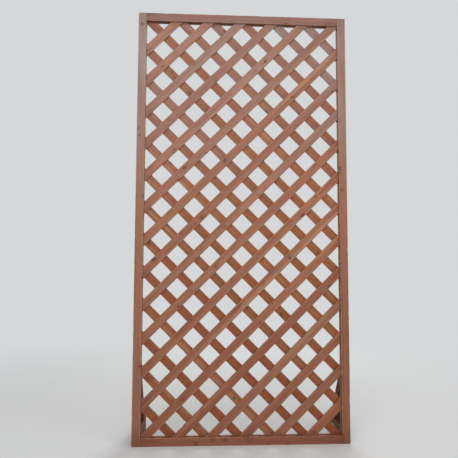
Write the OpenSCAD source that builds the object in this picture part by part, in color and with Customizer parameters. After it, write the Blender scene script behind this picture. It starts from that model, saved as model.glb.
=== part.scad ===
// Wooden plant trellis panel: a grooved frame round a diagonal lattice of two layers of slats,
// propped from behind by a foot bar and a diagonal strut on each stile.
// Axes: +Z up, +X to the right seen from the front, +Y to the back.
// Origin: on the underside of the bottom rail, at mid width and in the middle of the frame's depth.

/* [Frame] */
// Overall width of the panel
panel_w = 890; // [740:5:1070]
// Overall height of the panel
panel_h = 1800; // [1500:5:2160]
// Depth of the frame from front to back
frame_d = 30; // [25:1:45]
// Face width of a stile
stile_w = 34; // [28:1:60]
// Face height of a rail
rail_h = 34; // [28:1:60]
// Depth of the groove in the frame's inner edges
groove_depth = 10; // [7:0.5:14]

/* [Lattice] */
// Width of a slat
slat_w = 35; // [28:0.5:45]
// Thickness of a slat
slat_t = 8; // [6:0.1:10]
// Gap between neighbouring slats of one layer
gap_w = 60.5; // [50:0.5:90]

/* [Supports] */
// Width of a foot bar and of its strut
foot_w = 34; // [28:1:45]
// Height of a foot bar
foot_h = 60; // [50:1:80]
// Length of a foot bar behind the frame
foot_l = 200; // [180:5:400]
// Height of a strut's upper end on the stile
strut_top = 300; // [250:5:420]
// Distance from the frame's back to a strut's lower end
strut_reach = 155; // [120:5:175]
// Thickness of a strut
strut_t = 34; // [28:1:42]

/* [Fastenings] */
// Diameter of a wood screw's shank
screw_d = 4; // [3:0.5:5]
// Diameter of a wood screw's head
screw_head_d = 8; // [6:0.5:10]
// How far a corner screw bites into the end of a rail
rail_bite = 30; // [20:1:50]
// How far a strut screw bites into the foot bar
foot_bite = 32; // [20:1:45]
// Diameter of the dowels between a stile and its foot bar
dowel_d = 6; // [5:0.5:8]
// How far a dowel reaches into the stile
dowel_stile_depth = 15; // [10:1:20]
// How far a dowel reaches into the foot bar
dowel_foot_depth = 20; // [12:1:40]
// Outer width of a staple's crown
staple_crown_w = 8; // [6:0.5:12]
// Thickness of a staple's wire
staple_wire = 1.2; // [0.8:0.1:1.6]
// Wood left in front of a staple's points
staple_cover = 4; // [2:0.5:6]

/* [Hidden] */
// Overrun of a cut past the faces that it opens
overrun = 1;
// Clearance on each side of the lattice and of a tenon in the groove
groove_fit = 0.2;
// Clearance round a screw, a dowel or a staple in its hole
hole_fit = 0.1;
// Space between a slat's end and the bottom of the groove
slat_end_gap = 1;
// Space between a tenon's end and the bottom of the groove
tenon_end_gap = 0.5;
// Wood between a staple's crown and the edge of the opening
staple_edge = 1;
// Height of a screw head's cone
screw_head_h = 2.6;
// Length of a screw's point
screw_tip_h = 5;
// Diameter of the blunt end of a screw's point
screw_point_d = 0.8;
// How far a corner screw's head lies below the stile's outer face
screw_recess = 0.6;
// Depth of the cross recess in a screw head
drive_depth = 1.6;
// Length of each arm across the cross recess
drive_l = 4.4;
// Width of each arm of the cross recess
drive_w = 1.1;
// Wood left in front of the point of a strut's upper screw
stile_cover = 6;
// Wood under the head of a strut's upper screw
upper_seat = 10;
// Wood under the head of a strut's lower screw
lower_seat = 12;
// Heights of the dowels, as shares of the foot bar's height
dowel_height_shares = [0.5, 0.8];
// Roundness of screws and dowels
round_fn = 32;

// Size of the opening inside the frame
open_w = panel_w - 2 * stile_w;
open_h = panel_h - 2 * rail_h;
mid_z = panel_h / 2;

// Groove and what fits in it
groove_w = 2 * (slat_t + groove_fit);
tenon_t = groove_w - 2 * groove_fit;
tenon_l = groove_depth - tenon_end_gap;
tenon_h = rail_h - groove_depth;
tongue = groove_depth - slat_end_gap;

// Lattice layout: centre lines of each layer, spread evenly about the panel's centre
pitch = (slat_w + gap_w) * sqrt(2);
slat_reach = (open_w + open_h - slat_w * sqrt(2)) / 2;
slat_n = 2 * floor(slat_reach / pitch + 1 / 2);
slat_offsets = [for (i = [0 : slat_n - 1]) (i - (slat_n - 1) / 2) * pitch];
bar_l = norm([panel_w, panel_h]);

// Staples, driven from the back
staple_leg = 2 * slat_t - staple_cover;
staple_margin = staple_crown_w / 2 + staple_edge;

// Struts: the slope of the upper edge, and the strut's width measured along the stile and the foot
strut_rise = strut_top - foot_h;
strut_slope_l = norm([strut_reach, strut_rise]);
strut_on_stile = strut_t * strut_slope_l / strut_reach;
strut_on_foot = strut_t * strut_slope_l / strut_rise;

// Fastenings of the supports, all on one plane through the solid wood beside the stile's groove
back_y = frame_d / 2;
support_x = (stile_w - groove_depth - panel_w) / 2;
upper_screw_z = strut_top - strut_on_stile / 2;
upper_screw_l = upper_seat + frame_d - stile_cover;
lower_screw_y = back_y + strut_reach - strut_on_foot / 2;
lower_screw_l = lower_seat + foot_bite;
corner_screw_l = stile_w - screw_recess + rail_bite;
dowel_l = dowel_stile_depth + dowel_foot_depth;

FRAME_COLOR = "#966b59";
FRONT_COLOR = "#986a56";
BACK_COLOR = "#946048";
SUPPORT_COLOR = "#865e4c";
DOWEL_COLOR = "#c9a878";
STEEL_COLOR = "#a6a8a8";

function two_digits(i) = i < 10 ? str("0", i) : str(i);
function front_name(i) = str("front_slat_", two_digits(i));
function back_name(i) = str("back_slat_", two_digits(i));

// Whether a crossing, measured from the lattice's centre, has room for a staple
function has_staple(x, z) =
    abs(x) <= open_w / 2 - staple_margin && abs(z) <= open_h / 2 - staple_margin;

// Crossings along a front slat, and along a back slat, with a given offset
function front_crossings(c) =
    [for (b = slat_offsets) if (has_staple((c + b) / 2, (b - c) / 2)) [(c + b) / 2, mid_z + (b - c) / 2]];
function back_crossings(c) =
    [for (a = slat_offsets) if (has_staple((a + c) / 2, (c - a) / 2)) [(a + c) / 2, mid_z + (c - a) / 2]];

// Screw with a countersunk head: the head's top at the origin, the point towards -Z
module screw_body(length, fit) {
    shank_l = length - screw_head_h - screw_tip_h;
    translate([0, 0, -screw_head_h])
        cylinder(h = screw_head_h, d1 = screw_d + 2 * fit, d2 = screw_head_d + 2 * fit, $fn = round_fn);
    translate([0, 0, -screw_head_h - shank_l])
        cylinder(h = shank_l, d = screw_d + 2 * fit, $fn = round_fn);
    translate([0, 0, -length])
        cylinder(h = screw_tip_h, d1 = screw_point_d + 2 * fit, d2 = screw_d + 2 * fit, $fn = round_fn);
}

module wood_screw(length) {
    difference() {
        screw_body(length, 0);
        for (turn = [0, 90])
            rotate([0, 0, turn])
                translate([-drive_l / 2, -drive_w / 2, -drive_depth])
                    cube([drive_l, drive_w, drive_depth + overrun]);
    }
}

// Hole for a screw whose head lies below a face by the given sink
module screw_hole(length, sink) {
    screw_body(length, hole_fit);
    cylinder(h = sink + overrun, d = screw_head_d + 2 * hole_fit, $fn = round_fn);
    translate([0, 0, -length - hole_fit])
        cylinder(h = screw_tip_h, d = screw_point_d + 2 * hole_fit, $fn = round_fn);
}

// Places of the fastenings on the left-hand side
module at_corner_screw(z) {
    translate([screw_recess - panel_w / 2, 0, z]) rotate([0, -90, 0]) children();
}

module at_upper_screw() {
    translate([support_x, back_y + upper_seat, upper_screw_z]) rotate([-90, 0, 0]) children();
}

module at_lower_screw() {
    translate([support_x, lower_screw_y, foot_h + lower_seat]) children();
}

module at_dowels() {
    for (share = dowel_height_shares)
        translate([support_x, back_y - dowel_stile_depth, share * foot_h]) rotate([-90, 0, 0]) children();
}

module dowel_holes() {
    at_dowels()
        translate([0, 0, -hole_fit])
            cylinder(h = dowel_l + 2 * hole_fit, d = dowel_d + 2 * hole_fit, $fn = round_fn);
}

// A thing on the left and its mirror image on the right
module both_sides() {
    children();
    mirror([1, 0, 0]) children();
}

// Left-hand upright of the frame, grooved along its inner edge
module stile() {
    color(FRAME_COLOR)
        difference() {
            translate([-panel_w / 2, -frame_d / 2, 0])
                cube([stile_w, frame_d, panel_h]);
            translate([-open_w / 2 - groove_depth, -groove_w / 2, -overrun])
                cube([groove_depth + overrun, groove_w, panel_h + 2 * overrun]);
            for (z = [rail_h / 2, panel_h - rail_h / 2])
                at_corner_screw(z) screw_hole(corner_screw_l, screw_recess);
            at_upper_screw() screw_hole(upper_screw_l, 0);
            dowel_holes();
        }
}

module left_stile() {
    stile();
}

module right_stile() {
    mirror([1, 0, 0]) stile();
}

// Lower crosspiece of the frame, with a stub tenon at each end
module rail() {
    color(FRAME_COLOR)
        difference() {
            union() {
                translate([-open_w / 2, -frame_d / 2, 0])
                    cube([open_w, frame_d, rail_h]);
                translate([-open_w / 2 - tenon_l, -tenon_t / 2, 0])
                    cube([open_w + 2 * tenon_l, tenon_t, tenon_h]);
            }
            translate([-open_w / 2 - overrun, -groove_w / 2, tenon_h])
                cube([open_w + 2 * overrun, groove_w, groove_depth + overrun]);
            both_sides()
                at_corner_screw(rail_h / 2) screw_hole(corner_screw_l, screw_recess);
        }
}

module bottom_rail() {
    rail();
}

module top_rail() {
    translate([0, 0, panel_h]) mirror([0, 0, 1]) rail();
}

// Space that the lattice fills: the opening and the tongues in the four grooves
module lattice_space() {
    for (grow = [[tongue, 0], [0, tongue]])
        translate([-open_w / 2 - grow[0], -slat_t, rail_h - grow[1]])
            cube([open_w + 2 * grow[0], 2 * slat_t, open_h + 2 * grow[1]]);
}

// Slat of one layer: lean 1 rises to the right and -1 falls to the right
module slat(lean, offset, low_y, crossings) {
    difference() {
        intersection() {
            translate([offset / 2, low_y, mid_z - lean * offset / 2])
                rotate([0, -45 * lean, 0])
                    translate([-bar_l / 2, 0, -slat_w / 2])
                        cube([bar_l, slat_t, slat_w]);
            lattice_space();
        }
        for (at = crossings)
            translate([at[0], slat_t, at[1]]) staple(hole_fit);
    }
}

module front_slat(i) {
    c = slat_offsets[i - 1];
    color(FRONT_COLOR) slat(1, c, -slat_t, front_crossings(c));
}

module back_slat(i) {
    c = slat_offsets[i - 1];
    color(BACK_COLOR) slat(-1, c, 0, back_crossings(c));
}

// Staple with its crown flush with the back of the lattice, grown all round by a fit
module staple(fit) {
    wire = staple_wire + 2 * fit;
    translate([-staple_crown_w / 2 - fit, -staple_wire - fit, -wire / 2])
        cube([staple_crown_w + 2 * fit, staple_wire + 2 * fit, wire]);
    for (x = [-staple_crown_w / 2, staple_crown_w / 2 - staple_wire])
        translate([x - fit, -staple_leg - fit, -wire / 2])
            cube([wire, staple_leg, wire]);
}

module lattice_staples() {
    color(STEEL_COLOR)
        for (c = slat_offsets)
            for (at = front_crossings(c))
                translate([at[0], slat_t, at[1]]) staple(0);
}

module corner_screws() {
    color(STEEL_COLOR)
        both_sides()
            for (z = [rail_h / 2, panel_h - rail_h / 2])
                at_corner_screw(z) wood_screw(corner_screw_l);
}

// Left-hand bar that lies on the ground behind the stile
module foot() {
    color(SUPPORT_COLOR)
        difference() {
            translate([-panel_w / 2, back_y, 0])
                cube([foot_w, foot_l, foot_h]);
            at_lower_screw() screw_hole(lower_screw_l, 0);
            dowel_holes();
        }
}

module left_foot() {
    foot();
}

module right_foot() {
    mirror([1, 0, 0]) foot();
}

// Left-hand strut, cut to stand on the foot bar and to lean on the back of the stile
module strut() {
    color(SUPPORT_COLOR)
        difference() {
            translate([-panel_w / 2, back_y, 0])
                rotate([90, 0, 90])
                    linear_extrude(foot_w)
                        polygon([
                            [0, strut_top],
                            [0, strut_top - strut_on_stile],
                            [strut_reach - strut_on_foot, foot_h],
                            [strut_reach, foot_h]
                        ]);
            at_upper_screw() screw_hole(upper_screw_l, strut_reach);
            at_lower_screw() screw_hole(lower_screw_l, strut_rise);
        }
}

module left_strut() {
    strut();
}

module right_strut() {
    mirror([1, 0, 0]) strut();
}

module foot_dowels() {
    color(DOWEL_COLOR)
        both_sides()
            at_dowels() cylinder(h = dowel_l, d = dowel_d, $fn = round_fn);
}

module strut_screws() {
    color(STEEL_COLOR)
        both_sides() {
            at_upper_screw() wood_screw(upper_screw_l);
            at_lower_screw() wood_screw(lower_screw_l);
        }
}

left_stile();
right_stile();
top_rail();
bottom_rail();
for (i = [1 : slat_n]) {
    front_slat(i);
    back_slat(i);
}
lattice_staples();
corner_screws();
left_foot();
right_foot();
left_strut();
right_strut();
foot_dowels();
strut_screws();
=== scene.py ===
"""Visual model of a wooden trellis panel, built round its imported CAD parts.

Axes follow the CAD frame: +X to the right seen from the front, +Y to the back and +Z up, in metres.
"""
import math
import random
from collections import namedtuple

import bmesh
import bpy
import numpy as np
from mathutils import Matrix, Vector


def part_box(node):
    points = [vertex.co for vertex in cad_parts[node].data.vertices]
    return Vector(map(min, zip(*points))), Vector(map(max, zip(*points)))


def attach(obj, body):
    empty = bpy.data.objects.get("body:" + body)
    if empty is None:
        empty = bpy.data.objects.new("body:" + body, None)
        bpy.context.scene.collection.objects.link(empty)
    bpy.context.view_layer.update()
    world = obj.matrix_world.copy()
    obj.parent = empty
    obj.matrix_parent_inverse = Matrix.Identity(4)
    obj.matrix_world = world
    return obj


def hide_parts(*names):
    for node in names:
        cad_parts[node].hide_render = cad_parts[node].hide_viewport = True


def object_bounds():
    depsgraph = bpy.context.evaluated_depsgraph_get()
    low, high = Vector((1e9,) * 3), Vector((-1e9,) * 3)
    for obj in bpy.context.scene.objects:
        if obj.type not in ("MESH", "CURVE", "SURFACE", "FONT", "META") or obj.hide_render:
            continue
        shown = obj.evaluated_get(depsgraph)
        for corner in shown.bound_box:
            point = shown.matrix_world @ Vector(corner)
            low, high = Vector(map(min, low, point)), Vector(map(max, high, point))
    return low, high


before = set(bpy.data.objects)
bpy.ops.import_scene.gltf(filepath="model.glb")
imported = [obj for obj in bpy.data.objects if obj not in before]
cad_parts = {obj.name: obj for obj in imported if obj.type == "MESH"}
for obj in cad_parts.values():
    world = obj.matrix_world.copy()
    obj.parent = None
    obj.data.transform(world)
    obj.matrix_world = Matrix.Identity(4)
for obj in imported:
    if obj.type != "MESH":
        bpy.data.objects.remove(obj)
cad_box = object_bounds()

BODY = "root"
SEED = 41

# Edges of the timber: easing of each arris, the strip beside it over which wear fades out, and how near
# a neighbour keeps an edge from being worn
FRAME_EASE = 0.0013
SLAT_EASE = 0.0008
SUPPORT_EASE = 0.0016
WEAR_STRIP = 0.0026
STRIP_SHARE = 0.4
SHIELD_REACH = 0.004
ARC_STEPS = 2
END_EASE_SHARE = 0.8
CAP_INSET_SHARE = 1.1
END_RINGS = ARC_STEPS + 3
LEAST_STEPS = 2
SMOOTH_ANGLE = math.radians(50)

# Small unevenness of sawn and planed timber
RING_GAP = 0.012
WANDER = 0.00025
WANDER_WAVES = (0.4, 1.1)
RIPPLE = 0.00006
NICK_GAP = 0.45
NICK_DEPTHS = (0.0003, 0.0010)
NICK_WEAR = 2.0

# Grooves, tenons, struts and screw pockets, as in the CAD parts
GROOVE_W = 0.0164
GROOVE_DEPTH = 0.010
TENON_T = 0.016
STRUT_T = 0.034
POCKET_R = 0.0041
POCKET_SIDES = 40
HEAD_RECESS = 0.0034
UPPER_SEAT = 0.010
LOWER_SEAT = 0.012

# Tenons: how far they lie below the rail's faces and root in its end, and the easing of their tips
TENON_SINK = 0.0003
TENON_ROOT = 0.004
TENON_EASE = 0.0004

# Cuts: how far a cutter reaches out of the wood, how near to each other points are merged, and the
# slope below which a line counts as running along a side
PAST = 0.004
SLIVER = 0.00006
PARALLEL = 1e-6

# Staples: bent wire with its crown bedded in the back of the lattice
STAPLE_CROWN = 0.008
STAPLE_WIRE_R = 0.0006
STAPLE_BEND_R = 0.0011
STAPLE_PROUD = 0.0003
STAPLE_EDGE = 0.001
STAPLE_TILT = math.radians(4)
WIRE_SIDES = 8
BEND_STEPS = 4

# Pith of the log that a piece was cut from, measured from the piece's middle
PITH_NEAR = 0.02
PITH_FAR = 0.09
PITH_SPREAD = math.radians(35)
GRAIN_SHIFT = 40.0

# A piece's tone, as shares of its wood's colour, and its weathering and painted shade near the ground,
# as shares of the mean
Look = namedtuple("Look", "tone_shares age_share damp_share")
FRAME_LOOKS = {
    "left_stile": Look(tone_shares=(0.93, 1.00, 1.00), age_share=1.55, damp_share=0.6),
    # The right stile gets more painted shade on its lower part than the other bars
    "right_stile": Look(tone_shares=(1.01, 0.925, 0.815), age_share=1.45, damp_share=1.5),
    "bottom_rail": Look(tone_shares=(0.89, 0.71, 0.645), age_share=0.45, damp_share=1.0),
    "top_rail": Look(tone_shares=(0.80, 0.66, 0.76), age_share=0.45, damp_share=1.0),
}
SUPPORT_LOOK = Look(tone_shares=(0.93, 0.93, 0.93), age_share=1.0, damp_share=1.0)
SLAT_TONE_SHARES = (1.0, 1.0, 1.0)
SLAT_AGE_SHARES = (0.1, 1.9)
SLAT_LOW_SHADE_SHARE = 1.0
BLUE_WARMTH_SHARE = 1.4

X_AXIS = Vector((1, 0, 0))
Y_AXIS = Vector((0, 1, 0))
Z_AXIS = Vector((0, 0, 1))
DIAGONAL = math.sqrt(0.5)

Axes = namedtuple("Axes", "origin along across normal")
Outline = namedtuple("Outline", "points worn inward arcs")
Lattice = namedtuple("Lattice", "half_w half_h mid_z tongue pitch slat_w slat_t")

# Wood of each slot: early and late colour, ring width, sheen, and how much it streaks, greys and varies
Wood = namedtuple("Wood", "early late ring_w shine streak_share grey_share spread_share")
WOODS = {
    "frame_wood": Wood(
        early=(0.355, 0.155, 0.094),
        late=(0.175, 0.056, 0.028),
        ring_w=0.0040,
        shine=0.3,
        streak_share=1.0,
        grey_share=2.2,
        spread_share=0.04,
    ),
    "front_slat_wood": Wood(
        early=(0.356, 0.140, 0.075),
        late=(0.186, 0.055, 0.026),
        ring_w=0.0034,
        shine=0.3,
        streak_share=0.9,
        grey_share=1.6,
        spread_share=0.05,
    ),
    "back_slat_wood": Wood(
        early=(0.335, 0.102, 0.037),
        late=(0.175, 0.043, 0.014),
        ring_w=0.0034,
        shine=0.3,
        streak_share=0.9,
        grey_share=1.85,
        spread_share=0.04,
    ),
    # Supports: a somewhat darker wood, made darker still as painted shade behind the panel
    "support_wood": Wood(
        early=(0.235, 0.100, 0.058),
        late=(0.120, 0.042, 0.022),
        ring_w=0.0044,
        shine=0.03,
        streak_share=1.0,
        grey_share=0.5,
        spread_share=0.05,
    ),
}


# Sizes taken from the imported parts

def slat_names(layer):
    return sorted(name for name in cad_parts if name.startswith(layer))


def read_lattice():
    """Opening, slats and spacing of the lattice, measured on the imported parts."""
    names = slat_names("front_slat_")
    middle = len(names) // 2
    low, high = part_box(names[middle])
    above_low, above_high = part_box(names[middle - 1])
    half_w = (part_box("right_stile")[0].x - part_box("left_stile")[1].x) / 2
    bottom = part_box("bottom_rail")[1].z
    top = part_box("top_rail")[0].z
    size = high - low
    return Lattice(
        half_w=half_w,
        half_h=(top - bottom) / 2,
        mid_z=(top + bottom) / 2,
        tongue=high.x - half_w,
        pitch=(above_low.z + above_high.z - low.z - high.z) / 2,
        slat_w=(size.z - size.x) * DIAGONAL,
        slat_t=size.y,
    )


def slat_offset(number, count, lattice):
    return (number - (count - 1) / 2) * lattice.pitch


# Outlines and swept timber

def corner_tangent(before, here, after, ease):
    """How far the easing of a corner runs along its sides, which is zero at an inner corner."""
    back = before - here
    ahead = after - here
    if ahead.x * back.y - ahead.y * back.x < 0:
        return 0.0
    return ease / math.tan(back.angle(ahead) / 2)


def eased_corner(here, back, ahead, tangent, ease):
    """Points of the arc that eases a corner, given the unit ways along its two sides."""
    centre = here + (back + ahead).normalized() * math.hypot(ease, tangent)
    first = (here + back * tangent - centre).normalized()
    last = (here + ahead * tangent - centre).normalized()
    return [centre + first.slerp(last, step / ARC_STEPS) * ease for step in range(ARC_STEPS + 1)]


def eased_outline(corners, ease):
    """Closed anticlockwise outline, with convex corners eased and a strip for wear beside each."""
    corners = [Vector(corner) for corner in corners]
    befores = corners[-1:] + corners[:-1]
    afters = corners[1:] + corners[:1]
    tangents = [corner_tangent(*three, ease) for three in zip(befores, corners, afters)]
    points = []
    worn = []
    arcs = []
    for k, here in enumerate(corners):
        if not tangents[k]:
            points.append(here)
            worn.append(0.0)
            continue
        ways = []
        strip_ends = []
        after = (k + 1) % len(corners)
        for other, reach in ((befores[k], tangents[k - 1]), (afters[k], tangents[after])):
            side = other - here
            room = side.length - tangents[k] - reach
            ways.append(side.normalized())
            strip_ends.append(here + ways[-1] * (tangents[k] + min(WEAR_STRIP, room * STRIP_SHARE)))
        arc = eased_corner(here, *ways, tangents[k], ease)
        arcs.append(list(range(len(points) + 1, len(points) + 1 + len(arc))))
        points += [strip_ends[0], *arc, strip_ends[1]]
        worn += [0.0, *([1.0] * len(arc)), 0.0]
    places = np.array(points)
    return Outline(places, np.array(worn), inward_ways(places), arcs)


def sharp_outline(corners):
    """Closed anticlockwise outline, with its corners left sharp and unworn."""
    places = np.array(corners, float)
    return Outline(places, np.zeros(len(places)), inward_ways(places), [])


def inward_ways(points):
    """Unit vectors into an anticlockwise outline at each of its points."""
    chord = np.roll(points, -1, axis=0) - np.roll(points, 1, axis=0)
    ways = np.stack([-chord[:, 1], chord[:, 0]], axis=1)
    return ways / np.linalg.norm(ways, axis=1, keepdims=True)


def ring_list(length, ease):
    """Places along timber, as shares of its length, each with the inset and the wear there."""
    steps = max(LEAST_STEPS, round(length / RING_GAP))
    plain = [(k / steps, 0.0, 0.0) for k in range(steps + 1)]
    if not ease:
        return plain
    near = [(0.0, ease * CAP_INSET_SHARE, 0.0)]
    for step in range(ARC_STEPS + 1):
        turn = math.pi / 2 * step / ARC_STEPS
        near.append((ease * (1 - math.cos(turn)) / length, ease * (1 - math.sin(turn)), 1.0))
    near.append(((ease + WEAR_STRIP) / length, 0.0, 0.0))
    far = [(1 - share, inset, wear) for share, inset, wear in reversed(near)]
    return near + [ring for ring in plain if near[-1][0] < ring[0] < far[0][0]] + far


def wander(rng, distance):
    """Slow sideways drift of timber along its length."""
    waves = rng.uniform(*WANDER_WAVES)
    phase = rng.uniform(0, math.tau)
    return WANDER * np.sin(distance * math.tau * waves + phase)


def swept_timber(name, axes, outline, starts, stops, ease, rng=None):
    """Timber with one outline along its length, from a start to a stop of each outline point.

    Its end faces are unworn. With a source of random numbers it gets a little uneven.
    """
    count = len(outline.points)
    starts = np.broadcast_to(starts, count)
    stops = np.broadcast_to(stops, count)
    length = float(np.mean(stops - starts))
    rings = ring_list(length, ease)
    shares, insets, wears = (np.array(column) for column in zip(*rings))
    sections = outline.points[None] + outline.inward[None] * insets[:, None, None]
    worn = np.maximum(outline.worn[None], wears[:, None])
    worn[0] = 0.0
    worn[-1] = 0.0
    if rng:
        add_unevenness(sections, worn, shares * length, outline, rng)
    reach = starts[None] + shares[:, None] * (stops - starts)[None]
    points = (
        np.array(axes.origin)
        + reach[..., None] * np.array(axes.along)
        + sections[..., :1] * np.array(axes.across)
        + sections[..., 1:] * np.array(axes.normal)
    )
    faces = tube_faces(len(rings), count, in_rows=not ease)
    return mesh_piece(name, points.reshape(-1, 3), faces, worn.ravel())


def add_unevenness(sections, worn, distances, outline, rng):
    """Drifts the sections a little, ripples each arris and knocks a few nicks out of it."""
    for axis in range(2):
        sections[..., axis] += wander(rng, distances)[:, None]
    last = len(distances) - 1
    for arc in outline.arcs:
        inward = outline.inward[arc].mean(axis=0)
        ripple = np.array([rng.gauss(0, RIPPLE) for _ in distances])
        ripple[:END_RINGS] = 0
        ripple[-END_RINGS:] = 0
        sections[:, arc] += inward * ripple[:, None, None]
        likely = distances[-1] / NICK_GAP
        for _ in range(round(2 * likely * rng.random())):
            ring = rng.randint(min(END_RINGS, last), max(last - END_RINGS, 0))
            sections[ring, arc] += inward * rng.uniform(*NICK_DEPTHS)
            worn[ring, arc] = NICK_WEAR


def cap_faces(count, in_rows):
    """Faces over a ring: a single one, or a row of them between two like halves of the ring.

    The two points at each end of a half lie in one line with those of the other half, so the faces at
    the ends of the row reach past them.
    """
    if not in_rows:
        return [tuple(range(count))]
    half = count // 2
    faces = [(k, k + 1, count - 2 - k, count - 1 - k) for k in range(2, half - 3)]
    row_end = [(0, 1, 2), (count - 3, count - 2, count - 1), (0, 2, count - 3, count - 1)]
    for turn in (0, half):
        faces += [tuple((k + turn) % count for k in face) for face in row_end]
    return faces


def tube_faces(rings, count, in_rows=False):
    """Faces of a closed tube of rings, with a cap at each end."""
    faces = []
    for cap in cap_faces(count, in_rows):
        faces.append(cap[::-1])
        faces.append(tuple((rings - 1) * count + k for k in cap))
    for ring in range(rings - 1):
        for k in range(count):
            here = ring * count + k
            ahead = ring * count + (k + 1) % count
            faces.append((here, ahead, ahead + count, here + count))
    return faces


def number_attribute(mesh, name, values):
    attribute = mesh.attributes.new(name, "FLOAT", "POINT")
    attribute.data.foreach_set("value", np.asarray(values, np.float32))


def vector_attribute(mesh, name, values):
    attribute = mesh.attributes.new(name, "FLOAT_VECTOR", "POINT")
    attribute.data.foreach_set("vector", np.asarray(values, np.float32).ravel())


def mesh_piece(name, points, faces, worn):
    mesh = bpy.data.meshes.new(name)
    mesh.from_pydata([tuple(point) for point in points], [], faces)
    number_attribute(mesh, "worn", worn)
    piece = bpy.data.objects.new(name, mesh)
    bpy.context.scene.collection.objects.link(piece)
    return piece


def smooth(mesh):
    """Smooth faces with sharp edges where the surface turns strongly."""
    mesh.polygons.foreach_set("use_smooth", [True] * len(mesh.polygons))
    mesh.set_sharp_from_angle(angle=SMOOTH_ANGLE)
    mesh.update()


# Cuts and joins

def drill(start, way, length):
    """Round cutter from a start along a way."""
    mesh = bpy.data.meshes.new("drill")
    shape = bmesh.new()
    turn = Vector(way).to_track_quat("Z", "Y").to_matrix().to_4x4()
    place = Matrix.Translation(Vector(start) + Vector(way) * length / 2) @ turn
    bmesh.ops.create_cone(
        shape,
        cap_ends=True,
        segments=POCKET_SIDES,
        radius1=POCKET_R,
        radius2=POCKET_R,
        depth=length,
        matrix=place,
    )
    shape.to_mesh(mesh)
    shape.free()
    cutter = bpy.data.objects.new("drill", mesh)
    bpy.context.scene.collection.objects.link(cutter)
    return cutter


def combine(piece, other, operation):
    """Cuts another solid out of a piece or joins it on, and removes that solid."""
    modifier = piece.modifiers.new("combine", "BOOLEAN")
    modifier.operation = operation
    modifier.solver = "EXACT"
    modifier.object = other
    bpy.context.view_layer.update()
    made = bpy.data.meshes.new_from_object(piece.evaluated_get(bpy.context.evaluated_depsgraph_get()))
    piece.modifiers.clear()
    old = piece.data
    name = old.name
    piece.data = made
    bpy.data.meshes.remove(old)
    made.name = name
    bpy.data.objects.remove(other)
    drop_slivers(made)


def drop_slivers(mesh):
    """Merges the points that a cut or join leaves almost on top of each other."""
    shape = bmesh.new()
    shape.from_mesh(mesh)
    bmesh.ops.remove_doubles(shape, verts=shape.verts, dist=SLIVER)
    bmesh.ops.dissolve_degenerate(shape, edges=shape.edges, dist=SLIVER)
    shape.to_mesh(mesh)
    shape.free()


# Grain, tone and place of each piece

def piece_tone(tone_shares, spread_share, rng):
    """Red, green and blue shares of a tone that is shifted a little at random."""
    value = 1 + rng.gauss(0, spread_share)
    warmth = rng.gauss(0, spread_share)
    red, green, blue = tone_shares
    return (red * value, green * value * (1 + warmth), blue * value * (1 + BLUE_WARMTH_SHARE * warmth))


def take_off_wear(places, worn, neighbours):
    """Clears the wear of points beside a neighbour, which keeps those edges from being rubbed."""
    for neighbour in neighbours:
        low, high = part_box(neighbour)
        near = (places > np.array(low) - SHIELD_REACH) & (places < np.array(high) + SHIELD_REACH)
        worn[near.all(axis=1)] = 0.0


def dress(piece, axes, node, slot, look, rng, neighbours=()):
    """Gives timber its grain coordinates, tone, material, slot and body in place of a CAD node."""
    mesh = piece.data
    smooth(mesh)
    places = np.array([vertex.co for vertex in mesh.vertices])
    offset = places - np.array(axes.origin)
    grain = np.stack([offset @ np.array(way) for way in axes[1:]], axis=1)
    ends = np.minimum(grain[:, 0] - grain[:, 0].min(), grain[:, 0].max() - grain[:, 0])
    worn = np.zeros(len(places), np.float32)
    mesh.attributes["worn"].data.foreach_get("value", worn)
    take_off_wear(places, worn, neighbours)
    height = places[:, 2] / cad_box[1].z
    far = rng.uniform(PITH_NEAR, PITH_FAR)
    angle = rng.choice((-1, 1)) * math.pi / 2 + rng.gauss(0, PITH_SPREAD)
    shift = (rng.uniform(0, GRAIN_SHIFT), far * math.cos(angle), far * math.sin(angle))
    vector_attribute(mesh, "grain", grain + np.array(shift))
    vector_attribute(mesh, "place", np.stack([ends, worn, height], axis=1))
    tone = piece_tone(look.tone_shares, WOODS[slot].spread_share, rng)
    vector_attribute(mesh, "tone", np.broadcast_to(tone, places.shape))
    number_attribute(mesh, "age", np.full(len(places), look.age_share))
    number_attribute(mesh, "damp", np.full(len(places), look.damp_share))
    mesh.materials.append(MATERIALS[slot])
    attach(piece, BODY)
    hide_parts(node)


# Shader building

# Sockets of the mix node that serve colours
MIX_SHARE_INPUT = 0
MIX_FIRST_INPUT = 6
MIX_SECOND_INPUT = 7
MIX_OUTPUT = 2


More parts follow.
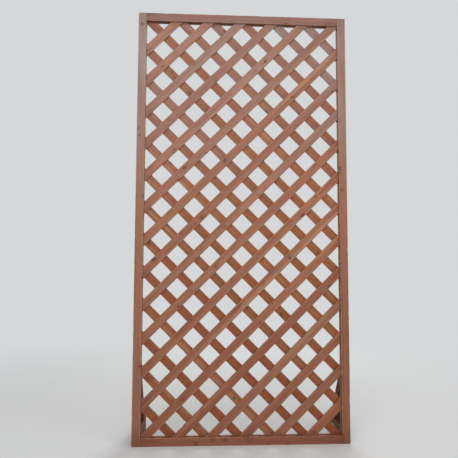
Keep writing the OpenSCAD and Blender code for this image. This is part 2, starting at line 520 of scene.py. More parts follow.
class Nodes:
    """Shorthand for one material's node tree."""

    def __init__(self, name):
        self.material = bpy.data.materials.new(name)
        self.material.use_nodes = True
        self.tree = self.material.node_tree
        self.tree.nodes.clear()
        self.shader = self.add("ShaderNodeBsdfPrincipled")
        self.output = self.add("ShaderNodeOutputMaterial")
        self.put(self.output.inputs["Surface"], self.shader.outputs["BSDF"])

    def add(self, kind, **settings):
        node = self.tree.nodes.new(kind)
        for name, value in settings.items():
            setattr(node, name, value)
        return node

    def put(self, socket, value):
        """Links a socket to another one, or sets its value."""
        if isinstance(value, bpy.types.NodeSocket):
            self.tree.links.new(value, socket)
        elif isinstance(value, tuple) and len(value) < len(socket.default_value):
            socket.default_value = (*value, 1)
        else:
            socket.default_value = value

    def attribute(self, name, kind="Vector"):
        return self.add("ShaderNodeAttribute", attribute_name=name).outputs[kind]

    def parts(self, vector):
        node = self.add("ShaderNodeSeparateXYZ")
        self.put(node.inputs[0], vector)
        return tuple(node.outputs)

    def joined(self, x, y, z):
        node = self.add("ShaderNodeCombineXYZ")
        for socket, value in zip(node.inputs, (x, y, z)):
            self.put(socket, value)
        return node.outputs[0]

    def maths(self, operation, first, second=0.0):
        """Result of a sum of one or two numbers."""
        node = self.add("ShaderNodeMath", operation=operation)
        self.put(node.inputs[0], first)
        self.put(node.inputs[1], second)
        return node.outputs[0]

    def times(self, first, second):
        return self.maths("MULTIPLY", first, second)

    def plus(self, first, second):
        return self.maths("ADD", first, second)

    def minus(self, first, second):
        return self.maths("SUBTRACT", first, second)

    def vectors(self, operation, first, second):
        node = self.add("ShaderNodeVectorMath", operation=operation)
        self.put(node.inputs[0], first)
        self.put(node.inputs[1], second)
        return node.outputs[0]

    def noise(self, vector, stretch, detail=2.0, roughness=0.5):
        """Noise from 0 to 1 with so many features to the metre along each axis."""
        node = self.add("ShaderNodeTexNoise")
        self.put(node.inputs["Vector"], self.vectors("MULTIPLY", vector, stretch))
        self.put(node.inputs["Scale"], 1.0)
        self.put(node.inputs["Detail"], detail)
        self.put(node.inputs["Roughness"], roughness)
        return node.outputs[0]

    def span(self, value, low, high, to_low=0.0, to_high=1.0, smoothed=True):
        """A value's place between two others, held inside a range."""
        node = self.add("ShaderNodeMapRange", interpolation_type="SMOOTHSTEP" if smoothed else "LINEAR")
        for name, given in (("Value", value), ("From Min", low), ("From Max", high)):
            self.put(node.inputs[name], given)
        self.put(node.inputs["To Min"], to_low)
        self.put(node.inputs["To Max"], to_high)
        return node.outputs[0]

    def mix(self, share, first, second):
        node = self.add("ShaderNodeMix", data_type="RGBA")
        self.put(node.inputs[MIX_SHARE_INPUT], share)
        self.put(node.inputs[MIX_FIRST_INPUT], first)
        self.put(node.inputs[MIX_SECOND_INPUT], second)
        return node.outputs[MIX_OUTPUT]

    def ramp(self, value, stops):
        """Grey level read off a row of stops, each a place and a level."""
        node = self.add("ShaderNodeValToRGB")
        while len(node.color_ramp.elements) < len(stops):
            node.color_ramp.elements.new(1.0)
        for element, (place, level) in zip(node.color_ramp.elements, stops):
            element.position = place
            element.color = (level, level, level, 1)
        self.put(node.inputs[0], value)
        return node.outputs[0]

    def bump(self, height, strength, distance):
        node = self.add("ShaderNodeBump")
        self.put(node.inputs["Strength"], strength)
        self.put(node.inputs["Distance"], distance)
        self.put(node.inputs["Height"], height)
        self.put(self.shader.inputs["Normal"], node.outputs["Normal"])


# Noise: where its values and those of other levels lie, and its detail and roughness
NOISE_MIDDLE = 0.5
NOISE_RANGE = (0.3, 0.7)
FULL_RANGE = (0.0, 1.0)
FINE_DETAIL = 3.0
PLAIN_DETAIL = 1.0
FINE_ROUGHNESS = 0.6
BLOTCH_ROUGHNESS = 0.55

# Growth rings, which run off true slowly and waver finely
DRIFT_STRETCH = (1.8, 16.0, 16.0)
DRIFT_REACH = 0.012
WAVER_STRETCH = (9.0, 70.0, 70.0)
WAVER_REACH = 0.0016
RING_STOPS = ((0.0, 0.0), (0.55, 0.22), (0.86, 1.0), (0.94, 0.9), (1.0, 0.0))
LATE_SHARES = (0.25, 0.75)

# Fibres, blotches, pale sapwood and dark streaks
FIBRE_STRETCH = (30.0, 1300.0, 1300.0)
FIBRE_SHADE_SHARES = (0.86, 1.12)
BLOTCH_STRETCH = (4.0, 16.0, 16.0)
BLOTCH_RANGE = (0.25, 0.75)
BLOTCH_SHADE_SHARES = (0.90, 1.10)
SAP_STRETCH = (0.9, 40.0, 40.0)
SAP_RANGE = (0.52, 0.72)
SAP_SHARES = (0.0, 0.65)
SAP_COLOR = (0.47, 0.235, 0.125)
STREAK_STRETCH = (1.5, 95.0, 95.0)
STREAK_RANGE = (0.50, 0.72)
STREAK_SHARE = 0.50
STREAK_COLOR = (0.150, 0.036, 0.016)

# Knots and drying cracks
KNOT_CELLS = 22.0
KNOT_SQUASH_SHARES = (0.72, 1.0, 1.0)
KNOT_SIZE_STRETCH = (6.0, 30.0, 30.0)
KNOT_GAP_SHARES = (1.5, 0.75)
KNOT_CORE = 0.0047
KNOT_RIM = 0.0062
KNOT_HALO = 0.016
KNOT_BULGE = 0.006
KNOT_SHARES = (0.35, 1.0)
HALO_SHARE = 0.28
KNOT_COLOR = (0.070, 0.024, 0.013)
KNOT_HEART = (0.150, 0.052, 0.026)
CRACK_STRETCH = (1.5, 240.0, 240.0)
CRACK_RANGE = (0.012, 0.003)
CRACK_PATCH_STRETCH = (2.2, 30.0, 30.0)
CRACK_PATCH_RANGE = (0.60, 0.70)
CRACK_SHARE = 0.7

# Ageing and painted shade: soaked ends, painted shade and splashes near the ground, and grey towards the
# top
END_STRETCH = (3.0, 230.0, 230.0)
END_RANGE = (0.35, 0.7)
END_REACH = 0.10
END_FADE = (0.012, -0.012)
END_SHARES = (0.0, 0.55)
END_COLOR = (0.140, 0.032, 0.016)
LOW_SHADE_HEIGHT_SHARES = (0.62, 0.0)
LOW_SHADE_SHARES = (0.0, 0.40)
GREY_HEIGHT_SHARES = (0.48, 1.0)
GREY_SHARES = (0.11, 0.27)
KNOT_GREY_SHARE = 0.2
GREY_COLOR = (0.31, 0.255, 0.240)
SPLASH_HEIGHT_SHARES = (0.03, 0.0)
SPLASH_RANGE = (0.35, 0.65)
SPLASH_SHARES = (0.04, 0.22)
DIRT_COLOR = (0.080, 0.036, 0.021)

# Rubbed edges and fresh nicks
RUB_RANGE = (0.1, 1.0)
CHIP_STRETCH = (55.0, 160.0, 160.0)
CHIP_RANGE = (0.40, 0.68)
CHIP_SHARES = (0.06, 0.40)
NICK_RANGE = (1.1, NICK_WEAR)
NICK_SHARES = (0.0, 0.75)
RAW_COLOR = (0.55, 0.37, 0.24)

# Roughness and relief of timber
FIBRE_ROUGHNESS = (0.47, 0.60)
LATE_POLISH = 0.07
KNOT_POLISH = 0.1
RUB_ROUGHNESS = 0.3
LATE_RELIEF_SHARE = 0.45
FIBRE_RELIEF_SHARE = 0.55
KNOT_RELIEF_SHARE = 0.5
CRACK_RELIEF_SHARE = 1.2
RUB_RELIEF_SHARE = 0.4
TIMBER_RELIEF = 0.0004
TIMBER_BUMP = 0.32

# Sockets with the marks in the wood, and with a point's distance to the ends, its wear and its height
Marks = namedtuple("Marks", "knot_gap knot knot_dark late fibre streak blotch crack")
Place = namedtuple("Place", "end worn height")


# Timber materials

def find_knots(nodes, grain):
    """Distance in metres to the nearest knot, less where knots are larger, and how dark it is."""
    node = nodes.add("ShaderNodeTexVoronoi")
    nodes.put(node.inputs["Vector"], nodes.vectors("MULTIPLY", grain, KNOT_SQUASH_SHARES))
    nodes.put(node.inputs["Scale"], KNOT_CELLS)
    size = nodes.span(nodes.noise(grain, KNOT_SIZE_STRETCH), *NOISE_RANGE, *KNOT_GAP_SHARES)
    gap = nodes.times(nodes.times(node.outputs["Distance"], 1 / KNOT_CELLS), size)
    dark, _, _ = nodes.parts(node.outputs["Color"])
    return gap, dark


def growth_rings(nodes, grain, knot_gap, ring_w):
    """Level from 0 in early wood to 1 in late wood, from the distance to the pith, bent round knots."""
    _, across, normal = nodes.parts(grain)
    away = nodes.maths("SQRT", nodes.plus(nodes.times(across, across), nodes.times(normal, normal)))
    drift = nodes.times(nodes.noise(grain, DRIFT_STRETCH), DRIFT_REACH)
    waver = nodes.times(nodes.noise(grain, WAVER_STRETCH), WAVER_REACH)
    bulge = nodes.span(knot_gap, KNOT_HALO, 0.0, 0.0, KNOT_BULGE)
    total = nodes.plus(nodes.plus(away, drift), nodes.plus(waver, bulge))
    return nodes.ramp(nodes.maths("FRACT", nodes.times(total, 1 / ring_w)), RING_STOPS)


def cracks(nodes, grain):
    """Level of fine drying cracks along the grain, in a few patches."""
    off_middle = nodes.minus(nodes.noise(grain, CRACK_STRETCH, PLAIN_DETAIL), NOISE_MIDDLE)
    line = nodes.span(nodes.maths("ABSOLUTE", off_middle), *CRACK_RANGE)
    patch = nodes.span(nodes.noise(grain, CRACK_PATCH_STRETCH, PLAIN_DETAIL), *CRACK_PATCH_RANGE)
    return nodes.times(line, patch)


def find_marks(nodes, grain, ring_w):
    """Everything that grew in the wood or opened as it dried."""
    knot_gap, knot_dark = find_knots(nodes, grain)
    return Marks(
        knot_gap=knot_gap,
        knot=nodes.span(knot_gap, KNOT_RIM, KNOT_CORE),
        knot_dark=nodes.span(knot_dark, *FULL_RANGE, *KNOT_SHARES),
        late=growth_rings(nodes, grain, knot_gap, ring_w),
        fibre=nodes.noise(grain, FIBRE_STRETCH, FINE_DETAIL, FINE_ROUGHNESS),
        streak=nodes.noise(grain, STREAK_STRETCH, FINE_DETAIL, FINE_ROUGHNESS),
        blotch=nodes.noise(grain, BLOTCH_STRETCH, FINE_DETAIL, BLOTCH_ROUGHNESS),
        crack=cracks(nodes, grain),
    )


def fresh_color(nodes, grain, wood, marks):
    """Colour of new stained timber in the tone of its piece."""
    late = nodes.times(marks.late, nodes.span(marks.blotch, *NOISE_RANGE, *LATE_SHARES))
    color = nodes.mix(late, wood.early, wood.late)
    pale = nodes.span(nodes.noise(grain, SAP_STRETCH), *SAP_RANGE, *SAP_SHARES)
    color = nodes.mix(pale, color, SAP_COLOR)
    dark = nodes.times(nodes.span(marks.streak, *STREAK_RANGE), STREAK_SHARE * wood.streak_share)
    color = nodes.mix(dark, color, STREAK_COLOR)
    fine = nodes.span(marks.fibre, *NOISE_RANGE, *FIBRE_SHADE_SHARES)
    shade = nodes.times(fine, nodes.span(marks.blotch, *BLOTCH_RANGE, *BLOTCH_SHADE_SHARES))
    color = nodes.vectors("MULTIPLY", color, nodes.joined(shade, shade, shade))
    color = nodes.vectors("MULTIPLY", color, nodes.attribute("tone"))
    halo = nodes.span(marks.knot_gap, KNOT_HALO, KNOT_CORE)
    color = nodes.mix(nodes.times(halo, HALO_SHARE), color, wood.late)
    heart = nodes.mix(nodes.span(marks.knot_gap, 0.0, KNOT_CORE), KNOT_HEART, KNOT_COLOR)
    color = nodes.mix(nodes.times(marks.knot, marks.knot_dark), color, heart)
    return nodes.mix(nodes.times(marks.crack, CRACK_SHARE), color, KNOT_COLOR)


def aged_color(nodes, color, grain, wood, marks, place):
    """Colour with soaked ends, painted shade and dirt near the ground and grey towards the top."""
    fringe = nodes.times(nodes.span(nodes.noise(grain, END_STRETCH), *END_RANGE), END_REACH)
    soaked = nodes.span(nodes.minus(place.end, fringe), *END_FADE, *END_SHARES)
    color = nodes.mix(soaked, color, END_COLOR)
    # Painted shade: the wood darkens towards its late colour near the ground, scaled by each piece's
    # low-shade share
    damp = nodes.span(place.height, *LOW_SHADE_HEIGHT_SHARES, *LOW_SHADE_SHARES)
    color = nodes.mix(nodes.times(damp, nodes.attribute("damp", "Fac")), color, wood.late)
    patchy = nodes.span(marks.blotch, *NOISE_RANGE, *GREY_SHARES)
    grey = nodes.times(nodes.span(place.height, *GREY_HEIGHT_SHARES), patchy)
    grey = nodes.times(grey, nodes.span(marks.knot, *FULL_RANGE, wood.grey_share, KNOT_GREY_SHARE))
    color = nodes.mix(nodes.times(grey, nodes.attribute("age", "Fac")), color, GREY_COLOR)
    splashes = nodes.span(marks.streak, *SPLASH_RANGE, *SPLASH_SHARES)
    dirt = nodes.times(nodes.span(place.height, *SPLASH_HEIGHT_SHARES), splashes)
    return nodes.mix(dirt, color, DIRT_COLOR)


def timber_roughness(nodes, marks, rubbed):
    """Roughness that is less on late wood and knots and more on rubbed edges."""
    rough = nodes.span(marks.fibre, *NOISE_RANGE, *FIBRE_ROUGHNESS, smoothed=False)
    rough = nodes.minus(rough, nodes.times(marks.late, LATE_POLISH))
    rough = nodes.plus(rough, nodes.times(rubbed, RUB_ROUGHNESS))
    return nodes.minus(rough, nodes.times(marks.knot, KNOT_POLISH))


def timber_relief(nodes, marks, rubbed):
    """Height of the surface: late wood, fibres and knots stand up, cracks and rubbed edges are sunk."""
    relief = nodes.times(marks.late, LATE_RELIEF_SHARE)
    relief = nodes.plus(relief, nodes.times(marks.fibre, FIBRE_RELIEF_SHARE))
    relief = nodes.minus(relief, nodes.times(marks.crack, CRACK_RELIEF_SHARE))
    relief = nodes.plus(relief, nodes.times(marks.knot, KNOT_RELIEF_SHARE))
    return nodes.minus(relief, nodes.times(rubbed, RUB_RELIEF_SHARE))


def timber(name, wood):
    """Stained softwood with growth rings, fibres, knots, fine cracks, worn edges and weathering."""
    nodes = Nodes(name)
    grain = nodes.attribute("grain")
    place = Place(*nodes.parts(nodes.attribute("place")))
    marks = find_marks(nodes, grain, wood.ring_w)
    chips = nodes.span(nodes.noise(grain, CHIP_STRETCH), *CHIP_RANGE, *CHIP_SHARES)
    rubbed = nodes.times(nodes.span(place.worn, *RUB_RANGE), chips)
    color = fresh_color(nodes, grain, wood, marks)
    color = aged_color(nodes, color, grain, wood, marks, place)
    color = nodes.mix(rubbed, color, RAW_COLOR)
    color = nodes.mix(nodes.span(place.worn, *NICK_RANGE, *NICK_SHARES), color, RAW_COLOR)
    nodes.put(nodes.shader.inputs["Base Color"], color)
    nodes.put(nodes.shader.inputs["Specular IOR Level"], wood.shine)
    nodes.put(nodes.shader.inputs["Roughness"], timber_roughness(nodes, marks, rubbed))
    nodes.bump(timber_relief(nodes, marks, rubbed), TIMBER_BUMP, TIMBER_RELIEF)
    return nodes.material


# Steel: bright and dull plating, and how far it rusts
Steel = namedtuple("Steel", "bright dull rust_share")
STEELS = {
    "screw_steel": Steel(bright=(0.58, 0.50, 0.34), dull=(0.42, 0.38, 0.29), rust_share=0.35),
    "staple_steel": Steel(bright=(0.50, 0.50, 0.49), dull=(0.33, 0.33, 0.33), rust_share=0.6),
}
PATCH_STRETCH = (160.0, 160.0, 160.0)
PATCH_RANGE = (0.35, 0.65)
SPECK_STRETCH = (900.0, 900.0, 900.0)
SCRATCH_STRETCH = (2600.0, 300.0, 300.0)
SCRATCH_RELIEF_SHARE = 0.5
RUST_RANGE = (0.55, 0.72)
RUST_COLOR = (0.16, 0.062, 0.028)
RUST_ROUGHNESS = 0.4
RUSTED_RANGE = (0.1, 0.6)
METAL_SHARES = (1.0, 0.2)
PLATED_ROUGHNESS = (0.32, 0.50)
STEEL_RELIEF = 0.0001
STEEL_BUMP = 0.3


def plated_steel(name, steel):
    """Plated steel with dull patches, fine scratches and a little rust."""
    nodes = Nodes(name)
    place = nodes.add("ShaderNodeTexCoord").outputs["Object"]
    patch = nodes.noise(place, PATCH_STRETCH, FINE_DETAIL)
    speck = nodes.noise(place, SPECK_STRETCH, FINE_DETAIL)
    scratch = nodes.noise(place, SCRATCH_STRETCH)
    color = nodes.mix(nodes.span(patch, *PATCH_RANGE), steel.bright, steel.dull)
    rusted = nodes.times(nodes.span(speck, *RUST_RANGE), steel.rust_share)
    nodes.put(nodes.shader.inputs["Base Color"], nodes.mix(rusted, color, RUST_COLOR))
    nodes.put(nodes.shader.inputs["Metallic"], nodes.span(rusted, *RUSTED_RANGE, *METAL_SHARES))
    rough = nodes.span(patch, *NOISE_RANGE, *PLATED_ROUGHNESS)
    nodes.put(nodes.shader.inputs["Roughness"], nodes.plus(rough, nodes.times(rusted, RUST_ROUGHNESS)))
    nodes.bump(nodes.plus(nodes.times(scratch, SCRATCH_RELIEF_SHARE), speck), STEEL_BUMP, STEEL_RELIEF)
    return nodes.material


# Turned hardwood
DOWEL_PALE = (0.60, 0.42, 0.24)
DOWEL_DARK = (0.44, 0.28, 0.14)
DOWEL_STRETCH = (700.0, 40.0, 700.0)
DOWEL_ROUGHNESS = (0.5, 0.65)
DOWEL_RELIEF = 0.0002
DOWEL_BUMP = 0.3


def turned_dowel(name):
    """Plain hardwood with fine lines along the dowel, which lies along Y."""
    nodes = Nodes(name)
    place = nodes.add("ShaderNodeTexCoord").outputs["Object"]
    line = nodes.noise(place, DOWEL_STRETCH, FINE_DETAIL)
    color = nodes.mix(nodes.span(line, *NOISE_RANGE), DOWEL_PALE, DOWEL_DARK)
    nodes.put(nodes.shader.inputs["Base Color"], color)
    nodes.put(nodes.shader.inputs["Roughness"], nodes.span(line, *NOISE_RANGE, *DOWEL_ROUGHNESS))
    nodes.bump(line, DOWEL_BUMP, DOWEL_RELIEF)
    return nodes.material


MATERIALS = {slot: timber(slot, wood) for slot, wood in WOODS.items()}
MATERIALS.update({slot: plated_steel(slot, steel) for slot, steel in STEELS.items()})
MATERIALS["dowel_wood"] = turned_dowel("dowel_wood")


# Frame

def hand(side):
    return "left" if side < 0 else "right"


def grooved_corners(width, depth, groove_at_end):
    """Outline of a frame bar from its outer edge at zero to its inner, grooved edge at the width."""
    half = depth / 2
    lip = GROOVE_W / 2
    floor = width - GROOVE_DEPTH
    outline = [(0, -half), (width, -half), (width, -lip), (floor, -lip), (floor, lip), (width, lip)]
    outline += [(width, half), (0, half)]
    if groove_at_end:
        return outline
    return [(-x, y) for x, y in reversed(outline)]


def make_stile(node, side, rng):
    """Upright of the frame: side is -1 on the left and 1 on the right."""
    low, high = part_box(node)
    size = high - low
    outer = low.x if side < 0 else high.x
    axes = Axes(Vector((outer, (low.y + high.y) / 2, low.z)), Z_AXIS, X_AXIS, Y_AXIS)
    outline = eased_outline(grooved_corners(size.x, size.y, side < 0), FRAME_EASE)
    piece = swept_timber(node + "_timber", axes, outline, 0.0, size.z, FRAME_EASE * END_EASE_SHARE, rng)
    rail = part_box("bottom_rail")[1].z
    for height in (rail / 2, size.z - rail / 2):
        start = Vector((outer - side * HEAD_RECESS, axes.origin.y, height))
        combine(piece, drill(start, X_AXIS * side, HEAD_RECESS + PAST), "DIFFERENCE")
    middle = axes._replace(origin=axes.origin - X_AXIS * side * size.x / 2)
    neighbours = ("bottom_rail", "top_rail", hand(side) + "_foot")
    dress(piece, middle, node, "frame_wood", FRAME_LOOKS[node], rng, neighbours)


def make_rail(node, side, rng):
    """Crosspiece of the frame, with a tenon at each end: side is -1 at the bottom and 1 at the top."""
    low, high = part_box(node)
    size = high - low
    outer = low.z if side < 0 else high.z
    axes = Axes(Vector((0, (low.y + high.y) / 2, outer)), X_AXIS, Z_AXIS, -Y_AXIS)
    half = LATTICE.half_w
    outline = eased_outline(grooved_corners(size.z, size.y, side < 0), FRAME_EASE)
    piece = swept_timber(node + "_timber", axes, outline, -half, half, FRAME_EASE * END_EASE_SHARE, rng)
    inner = size.z - GROOVE_DEPTH - TENON_SINK
    near, far = sorted((-side * TENON_SINK, -side * inner))
    corners = [(near, -TENON_T / 2), (far, -TENON_T / 2), (far, TENON_T / 2), (near, TENON_T / 2)]
    for start, stop in ((low.x, TENON_ROOT - half), (half - TENON_ROOT, high.x)):
        tenon = swept_timber("tenon", axes, sharp_outline(corners), start, stop, TENON_EASE)
        combine(piece, tenon, "UNION")
    middle = axes._replace(origin=axes.origin - Z_AXIS * side * size.z / 2)
    dress(piece, middle, node, "frame_wood", FRAME_LOOKS[node], rng, ("left_stile", "right_stile"))


# Lattice

def cut_limits(axes, across):
    """Where lines along a slat, at these places across it, leave the opening with its grooves."""
    wide = LATTICE.half_w + LATTICE.tongue
    tall = LATTICE.half_h + LATTICE.tongue
    corner = (LATTICE.half_w + LATTICE.half_h + LATTICE.tongue) * DIAGONAL
    sides = [(1, 0, wide), (-1, 0, wide), (0, 1, tall), (0, -1, tall)]
    sides += [(x * DIAGONAL, z * DIAGONAL, corner) for x in (-1, 1) for z in (-1, 1)]
    starts = np.full(len(across), -np.inf)
    stops = np.full(len(across), np.inf)
    for x, z, reach in sides:
        way = Vector((x, 0, z))
        speed = way.dot(axes.along)
        centre = axes.origin - Z_AXIS * LATTICE.mid_z
        room = reach - way.dot(centre) - across * way.dot(axes.across)
        if speed > PARALLEL:
            stops = np.minimum(stops, room / speed)
        elif speed < -PARALLEL:
            starts = np.maximum(starts, room / speed)
    return starts, stops


def make_slat(node, lean, offset, slot, rng):
    """Slat of one layer: lean 1 rises to the right and -1 falls to the right."""
    low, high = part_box(node)
    along = Vector((1, 0, lean)) * DIAGONAL
    across = Vector((-lean, 0, 1)) * DIAGONAL
    middle = Vector((offset / 2, (low.y + high.y) / 2, LATTICE.mid_z - lean * offset / 2))
    axes = Axes(middle, along, across, -Y_AXIS)
    wide = LATTICE.slat_w / 2
    thick = LATTICE.slat_t / 2
    outline = eased_outline([(-wide, -thick), (wide, -thick), (wide, thick), (-wide, thick)], SLAT_EASE)
    starts, stops = cut_limits(axes, outline.points[:, 0])
    piece = swept_timber(node + "_timber", axes, outline, starts, stops, 0.0, rng)
    look = Look(SLAT_TONE_SHARES, rng.uniform(*SLAT_AGE_SHARES), SLAT_LOW_SHADE_SHARE)
    dress(piece, axes, node, slot, look, rng)


def crossings(count):
    """Places where a front slat and a back slat cross with room for a staple."""
    margin = STAPLE_CROWN / 2 + STAPLE_EDGE
    offsets = [slat_offset(k, count, LATTICE) for k in range(count)]
    for front in offsets:
        for back in offsets:
            x = (front + back) / 2
            z = (back - front) / 2
            if abs(x) <= LATTICE.half_w - margin and abs(z) <= LATTICE.half_h - margin:
                yield x, LATTICE.mid_z + z


def staple_line(leg):
    """Middle line of a staple's wire, across and out of the wood, with the way it runs at each point."""
    half = STAPLE_CROWN / 2 - STAPLE_WIRE_R
    top = STAPLE_PROUD
    line = [(-half, top - leg, 0, 1)]
    for side in (-1, 1):
        for step in range(BEND_STEPS + 1):
            turn = math.pi / 2 * step / BEND_STEPS
            if side > 0:
                turn = math.pi / 2 - turn
            out = STAPLE_BEND_R * (1 - math.cos(turn))
            rise = STAPLE_BEND_R * (1 - math.sin(turn))
            line.append((side * (half - out), top - rise, math.sin(turn), -side * math.cos(turn)))
    line.append((half, top - leg, 0, -1))
    return line


def make_staples(node, rng):
    """All the staples of the lattice, as one piece of bent round wire."""
    low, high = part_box(node)
    line = staple_line(high.y - low.y)
    points = []
    faces = []
    for x, z in crossings(len(slat_names("front_slat_"))):
        tilt = rng.uniform(-STAPLE_TILT, STAPLE_TILT)
        level = Vector((math.cos(tilt), 0, math.sin(tilt)))
        upright = Vector((-math.sin(tilt), 0, math.cos(tilt)))
        base = len(points)
        for across, out, run_across, run_out in line:
            centre = Vector((x, high.y, z)) + level * across + Y_AXIS * out
            side = level * run_out - Y_AXIS * run_across
            for k in range(WIRE_SIDES):
                turn = math.tau * k / WIRE_SIDES
                way = side * math.cos(turn) + upright * math.sin(turn)
                points.append(centre + way * STAPLE_WIRE_R)
        faces += [tuple(base + k for k in face) for face in tube_faces(len(line), WIRE_SIDES)]
    piece = mesh_piece("lattice_staple_wires", points, faces, [0.0] * len(points))
    mend_normals(piece.data)
    smooth(piece.data)
    piece.data.materials.append(MATERIALS["staple_steel"])
    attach(piece, BODY)
    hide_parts(node)


def mend_normals(mesh):
    """Turns every face of a closed mesh outwards."""
    shape = bmesh.new()
    shape.from_mesh(mesh)
    bmesh.ops.recalc_face_normals(shape, faces=shape.faces)
    shape.to_mesh(mesh)
    shape.free()


# Supports

def make_foot(node, rng):
    """Bar that lies on the ground behind a stile."""
    low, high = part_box(node)
    size = high - low
    middle = (low + high) / 2
    axes = Axes(middle, Y_AXIS, Z_AXIS, X_AXIS)
    wide = size.x / 2
    tall = size.z / 2
    outline = eased_outline([(-tall, -wide), (tall, -wide), (tall, wide), (-tall, wide)], SUPPORT_EASE)
    reach = size.y / 2
    ease = SUPPORT_EASE * END_EASE_SHARE
    piece = swept_timber(node + "_timber", axes, outline, -reach, reach, ease, rng)
    dress(piece, axes, node, "support_wood", SUPPORT_LOOK, rng)


def make_strut(node, side, rng):
    """Diagonal from a foot to the back of its stile, with a pocket for the screw at each end."""
    low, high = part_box(node)
    reach = high.y - low.y
    rise = high.z - low.z
    slope = math.hypot(reach, rise)
    on_stile = STRUT_T * slope / reach
    on_foot = STRUT_T * slope / rise
    corners = [(low.y, high.z), (low.y, high.z - on_stile), (high.y - on_foot, low.z), (high.y, low.z)]
    axes = Axes(Vector((0, 0, 0)), X_AXIS, Y_AXIS, Z_AXIS)
    outline = eased_outline(corners, SUPPORT_EASE)
    ease = SUPPORT_EASE * END_EASE_SHARE
    piece = swept_timber(node + "_timber", axes, outline, low.x, high.x, ease, rng)
    stile_low, stile_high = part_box(hand(side) + "_stile")
    outer = stile_low.x if side < 0 else stile_high.x
    line_x = outer - side * (stile_high.x - stile_low.x - GROOVE_DEPTH) / 2
    upper = Vector((line_x, low.y + UPPER_SEAT, high.z - on_stile / 2))
    lower = Vector((line_x, high.y - on_foot / 2, low.z + LOWER_SEAT))
    combine(piece, drill(upper, Y_AXIS, reach), "DIFFERENCE")
    combine(piece, drill(lower, Z_AXIS, rise), "DIFFERENCE")
    along = Vector((0, -reach, rise)).normalized()
    middle = (low + high) / 2
    strut_axes = Axes(middle, along, X_AXIS, along.cross(X_AXIS))
    dress(piece, strut_axes, node, "support_wood", SUPPORT_LOOK, rng)


def keep_part(node, slot):
    """Shows a CAD part as it is, with a material of its own."""
    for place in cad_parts[node].material_slots:
        place.material = MATERIALS[slot]


def build_object():
    rng = random.Random(SEED)
    make_stile("left_stile", -1, rng)
    make_stile("right_stile", 1, rng)
    make_rail("bottom_rail", -1, rng)
    make_rail("top_rail", 1, rng)
    for layer, lean in (("front_slat_", 1), ("back_slat_", -1)):
        names = slat_names(layer)
        for number, node in enumerate(names):
            make_slat(node, lean, slat_offset(number, len(names), LATTICE), layer + "wood", rng)
    make_staples("lattice_staples", rng)
    for side in (-1, 1):
        make_foot(hand(side) + "_foot", rng)
        make_strut(hand(side) + "_strut", side, rng)
    keep_part("corner_screws", "screw_steel")
    keep_part("strut_screws", "screw_steel")
    keep_part("foot_dowels", "dowel_wood")


# Stage, light and camera

FLOOR_HALF = 30.0
FLOOR_COLOR = (0.80, 0.80, 0.79)
FLOOR_ROUGHNESS = 0.9
FADE_NEAR = 0.7
FADE_FAR = 3.4
BACKGROUND = (0.67, 0.68, 0.69, 1)
AMBIENT = (0.93, 0.96, 1.0, 1)
AMBIENT_STRENGTH = 0.29
AIM = Vector((0, 0, 0.95))
CAMERA_PLACE = Vector((-0.1697, -2.0888, 0.7195))
CAMERA_YAW = 0.0545
CAMERA_PITCH = 0.0757
CAMERA_ROLL = 0.0038
CAMERA_LENS = 39.3
SENSOR_W = 36.0

Lamp = namedtuple("Lamp", "place side power")
LAMPS = {
    "key": Lamp(place=Vector((-0.9, -3.8, 2.7)), side=3.2, power=104.0),
    "fill": Lamp(place=Vector((2.8, -2.6, 1.6)), side=2.2, power=30.0),
    "rear": Lamp(place=Vector((0.8, 3.2, 3.0)), side=2.4, power=78.0),
}


def seen_directly(tree):
    """Level that is one where the camera, a mirror or a glass sees a point, and zero elsewhere."""
    path = tree.nodes.new("ShaderNodeLightPath")
    seen = path.outputs["Is Camera Ray"]
    for name in ("Is Glossy Ray", "Is Transmission Ray"):
        either = tree.nodes.new("ShaderNodeMath")
        either.operation = "MAXIMUM"
        tree.links.new(seen, either.inputs[0])
        tree.links.new(path.outputs[name], either.inputs[1])
        seen = either.outputs[0]
    return seen


def floor_material():
    """Pale matt floor that fades into the background far from the object."""
    nodes = Nodes("floor")
    nodes.put(nodes.shader.inputs["Base Color"], FLOOR_COLOR)
    nodes.put(nodes.shader.inputs["Roughness"], FLOOR_ROUGHNESS)
    far = nodes.add("ShaderNodeVectorMath", operation="LENGTH")
    nodes.put(far.inputs[0], nodes.add("ShaderNodeNewGeometry").outputs["Position"])
    distant = nodes.span(far.outputs["Value"], FADE_NEAR, FADE_FAR)
    faded = nodes.times(distant, seen_directly(nodes.tree))
    glow = nodes.add("ShaderNodeEmission")
    nodes.put(glow.inputs["Color"], BACKGROUND)
    blend = nodes.add("ShaderNodeMixShader")
    for socket, value in zip(blend.inputs, (faded, nodes.shader.outputs["BSDF"], glow.outputs[0])):
        nodes.put(socket, value)
    nodes.put(nodes.output.inputs["Surface"], blend.outputs[0])
    return nodes.material


def make_floor():
    mesh = bpy.data.meshes.new("floor")
    corners = [(x * FLOOR_HALF, y * FLOOR_HALF, 0) for x, y in ((-1, -1), (1, -1), (1, 1), (-1, 1))]
    mesh.from_pydata(corners, [], [(0, 1, 2, 3)])
    mesh.materials.append(floor_material())
    floor = bpy.data.objects.new("floor", mesh)
    bpy.context.scene.collection.objects.link(floor)


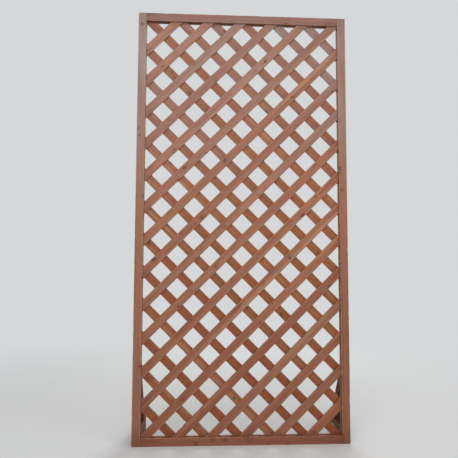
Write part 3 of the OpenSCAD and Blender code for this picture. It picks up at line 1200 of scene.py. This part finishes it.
def make_world():
    """Soft ambient light, with a pale plain background for what the camera and mirrors see."""
    world = bpy.data.worlds.new("studio")
    bpy.context.scene.world = world
    world.use_nodes = True
    tree = world.node_tree
    tree.nodes.clear()
    light = tree.nodes.new("ShaderNodeBackground")
    light.inputs["Color"].default_value = AMBIENT
    light.inputs["Strength"].default_value = AMBIENT_STRENGTH
    backdrop = tree.nodes.new("ShaderNodeBackground")
    backdrop.inputs["Color"].default_value = BACKGROUND
    mixed = tree.nodes.new("ShaderNodeMixShader")
    tree.links.new(seen_directly(tree), mixed.inputs[0])
    tree.links.new(light.outputs[0], mixed.inputs[1])
    tree.links.new(backdrop.outputs[0], mixed.inputs[2])
    output = tree.nodes.new("ShaderNodeOutputWorld")
    tree.links.new(mixed.outputs[0], output.inputs["Surface"])


def make_lamp(name, lamp):
    data = bpy.data.lights.new(name, "AREA")
    data.shape = "SQUARE"
    data.size = lamp.side
    data.energy = lamp.power
    holder = bpy.data.objects.new(name, data)
    holder.location = lamp.place
    holder.rotation_mode = "QUATERNION"
    holder.rotation_quaternion = (AIM - lamp.place).to_track_quat("-Z", "Y")
    bpy.context.scene.collection.objects.link(holder)


def make_camera():
    """Camera at the photograph's viewpoint, turned right and up and rolled by small angles."""
    level = Vector((math.sin(CAMERA_YAW), math.cos(CAMERA_YAW), 0))
    forward = level * math.cos(CAMERA_PITCH) + Z_AXIS * math.sin(CAMERA_PITCH)
    right = forward.cross(Z_AXIS).normalized()
    up = right.cross(forward)
    turned = right * math.cos(CAMERA_ROLL) + up * math.sin(CAMERA_ROLL)
    data = bpy.data.cameras.new("camera")
    data.lens = CAMERA_LENS
    data.sensor_width = SENSOR_W
    camera = bpy.data.objects.new("camera", data)
    rows = Matrix((turned, turned.cross(forward), -forward))
    camera.matrix_world = Matrix.Translation(CAMERA_PLACE) @ rows.transposed().to_4x4()
    bpy.context.scene.collection.objects.link(camera)
    bpy.context.scene.camera = camera


LATTICE = read_lattice()
build_object()
make_floor()
make_world()
for lamp_name, lamp_values in LAMPS.items():
    make_lamp(lamp_name, lamp_values)
make_camera()
bpy.context.scene.view_settings.view_transform = "Standard"
